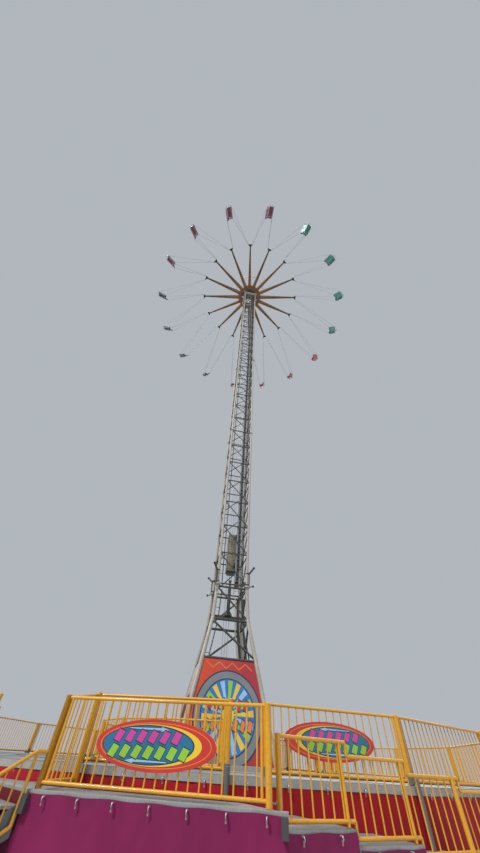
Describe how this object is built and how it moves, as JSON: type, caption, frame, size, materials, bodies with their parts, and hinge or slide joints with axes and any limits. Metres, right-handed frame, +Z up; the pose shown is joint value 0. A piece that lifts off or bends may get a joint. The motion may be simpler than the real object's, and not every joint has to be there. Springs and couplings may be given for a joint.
{
  "type": "tower swing carousel, scale model 1:2",
  "caption": "Tower swing carousel: a lattice tower with a lift carriage, a turning star of arms, gondolas on chains, a counterweight and a railed deck.",
  "frame": {"origin": "middle of the tower at ground level", "axes": "+Z up along the tower; people come in from the -Y side, with the entrance flight at -X and the exit flight at +X"},
  "size_m": [14.6732, 14.6732, 30.5303],
  "materials": {
    "tower_paint": "satin, weathered beige grey",
    "bare_steel": "satin, blue grey",
    "panel_red": "gloss, painted picture panel",
    "wall_paint": "satin, dark red",
    "white_paint": "gloss",
    "frame_grey": "satin, dark grey",
    "deck_plate": "chequered plate",
    "skirt_red": "woven sheet, matt",
    "rail_yellow": "gloss",
    "skirt_purple": "covered with a matt woven sheet",
    "sign_blue": "gloss, printed",
    "carriage_grey": "satin",
    "star_orange": "satin, orange brown",
    "weight_grey": "ribbed, painted beige",
    "gondola_magenta": "gloss",
    "gondola_green": "gloss",
    "gondola_red": "gloss",
    "gondola_blue": "gloss"
  },
  "bodies": {
    "ride_base": {"tower_front": "tower_paint", "tower_back": "tower_paint", "tower_left": "tower_paint", "tower_right": "tower_paint", "guide_tube": "bare_steel", "service_ladder": "tower_paint", "leg_frame": "tower_paint", "front_panel": "panel_red", "right_wall": "wall_paint", "back_wall": "wall_paint", "left_wall": "wall_paint", "tower_head": "tower_paint", "head_hoop": "white_paint", "base_frame": "frame_grey", "deck_floor": "deck_plate", "deck_skirt": "skirt_red", "deck_rails": "rail_yellow", "front_rails": "rail_yellow", "inner_fence": "rail_yellow", "landing": "skirt_purple", "entrance_stairs": "deck_plate", "landing_rail": "rail_yellow", "queue_rail": "rail_yellow", "exit_steps": "skirt_purple", "exit_rail": "rail_yellow", "entrance_sign": "sign_blue", "exit_sign": "sign_blue"},
    "lift_carriage": {"carriage": "carriage_grey"},
    "star": {"star_hub": "star_orange", "star_arms": "star_orange"},
    "counterweight": {"counterweight": "weight_grey"},
    "gondola_01": {"gondola_01": "gondola_magenta"},
    "gondola_02": {"gondola_02": "gondola_green"},
    "gondola_03": {"gondola_03": "gondola_green"},
    "gondola_04": {"gondola_04": "gondola_green"},
    "gondola_05": {"gondola_05": "gondola_green"},
    "gondola_06": {"gondola_06": "gondola_red"},
    "gondola_07": {"gondola_07": "gondola_red"},
    "gondola_08": {"gondola_08": "gondola_red"},
    "gondola_09": {"gondola_09": "gondola_red"},
    "gondola_10": {"gondola_10": "gondola_blue"},
    "gondola_11": {"gondola_11": "gondola_blue"},
    "gondola_12": {"gondola_12": "gondola_blue"},
    "gondola_13": {"gondola_13": "gondola_blue"},
    "gondola_14": {"gondola_14": "gondola_magenta"},
    "gondola_15": {"gondola_15": "gondola_magenta"},
    "gondola_16": {"gondola_16": "gondola_magenta"}
  },
  "joints": [
    {"name": "lift", "type": "slide", "parent": "ride_base", "child": "lift_carriage", "axis": [0, 0, 1], "range_m": [-22.7, 0]},
    {"name": "counterweight_slide", "type": "slide", "parent": "ride_base", "child": "counterweight", "axis": [0, 0, 1], "range_m": [0, 22.7]},
    {"name": "star_spin", "type": "hinge", "parent": "lift_carriage", "child": "star", "pos_m": [0, 0, 28.85], "axis": [0, 0, 1], "continuous": true},
    {"name": "gondola_01_swing", "type": "hinge", "parent": "star", "child": "gondola_01", "pos_m": [0.5964, -4.0143, 28.8], "axis": [-0.9891, -0.1469, 0], "range_deg": [-40, 12]},
    {"name": "gondola_02_swing", "type": "hinge", "parent": "star", "child": "gondola_02", "pos_m": [2.0872, -3.4805, 28.8], "axis": [-0.8576, -0.5143, 0], "range_deg": [-40, 12]},
    {"name": "gondola_03_swing", "type": "hinge", "parent": "star", "child": "gondola_03", "pos_m": [3.2602, -2.4168, 28.8], "axis": [-0.5955, -0.8033, 0], "range_deg": [-40, 12]},
    {"name": "gondola_04_swing", "type": "hinge", "parent": "star", "child": "gondola_04", "pos_m": [3.9369, -0.9852, 28.8], "axis": [-0.2428, -0.9701, 0], "range_deg": [-40, 12]},
    {"name": "gondola_05_swing", "type": "hinge", "parent": "star", "child": "gondola_05", "pos_m": [4.0143, 0.5964, 28.8], "axis": [0.1469, -0.9891, 0], "range_deg": [-40, 12]},
    {"name": "gondola_06_swing", "type": "hinge", "parent": "star", "child": "gondola_06", "pos_m": [3.4805, 2.0872, 28.8], "axis": [0.5143, -0.8576, 0], "range_deg": [-40, 12]},
    {"name": "gondola_07_swing", "type": "hinge", "parent": "star", "child": "gondola_07", "pos_m": [2.4168, 3.2602, 28.8], "axis": [0.8033, -0.5955, 0], "range_deg": [-40, 12]},
    {"name": "gondola_08_swing", "type": "hinge", "parent": "star", "child": "gondola_08", "pos_m": [0.9852, 3.9369, 28.8], "axis": [0.9701, -0.2428, 0], "range_deg": [-40, 12]},
    {"name": "gondola_09_swing", "type": "hinge", "parent": "star", "child": "gondola_09", "pos_m": [-0.5964, 4.0143, 28.8], "axis": [0.9891, 0.1469, 0], "range_deg": [-40, 12]},
    {"name": "gondola_10_swing", "type": "hinge", "parent": "star", "child": "gondola_10", "pos_m": [-2.0872, 3.4805, 28.8], "axis": [0.8576, 0.5143, 0], "range_deg": [-40, 12]},
    {"name": "gondola_11_swing", "type": "hinge", "parent": "star", "child": "gondola_11", "pos_m": [-3.2602, 2.4168, 28.8], "axis": [0.5955, 0.8033, 0], "range_deg": [-40, 12]},
    {"name": "gondola_12_swing", "type": "hinge", "parent": "star", "child": "gondola_12", "pos_m": [-3.9369, 0.9852, 28.8], "axis": [0.2428, 0.9701, 0], "range_deg": [-40, 12]},
    {"name": "gondola_13_swing", "type": "hinge", "parent": "star", "child": "gondola_13", "pos_m": [-4.0143, -0.5964, 28.8], "axis": [-0.1469, 0.9891, 0], "range_deg": [-40, 12]},
    {"name": "gondola_14_swing", "type": "hinge", "parent": "star", "child": "gondola_14", "pos_m": [-3.4805, -2.0872, 28.8], "axis": [-0.5143, 0.8576, 0], "range_deg": [-40, 12]},
    {"name": "gondola_15_swing", "type": "hinge", "parent": "star", "child": "gondola_15", "pos_m": [-2.4168, -3.2602, 28.8], "axis": [-0.8033, 0.5955, 0], "range_deg": [-40, 12]},
    {"name": "gondola_16_swing", "type": "hinge", "parent": "star", "child": "gondola_16", "pos_m": [-0.9852, -3.9369, 28.8], "axis": [-0.9701, 0.2428, 0], "range_deg": [-40, 12]}
  ],
  "couplings": [
    {"joint": "counterweight_slide", "follows": "lift", "ratio": -1}
  ]
}
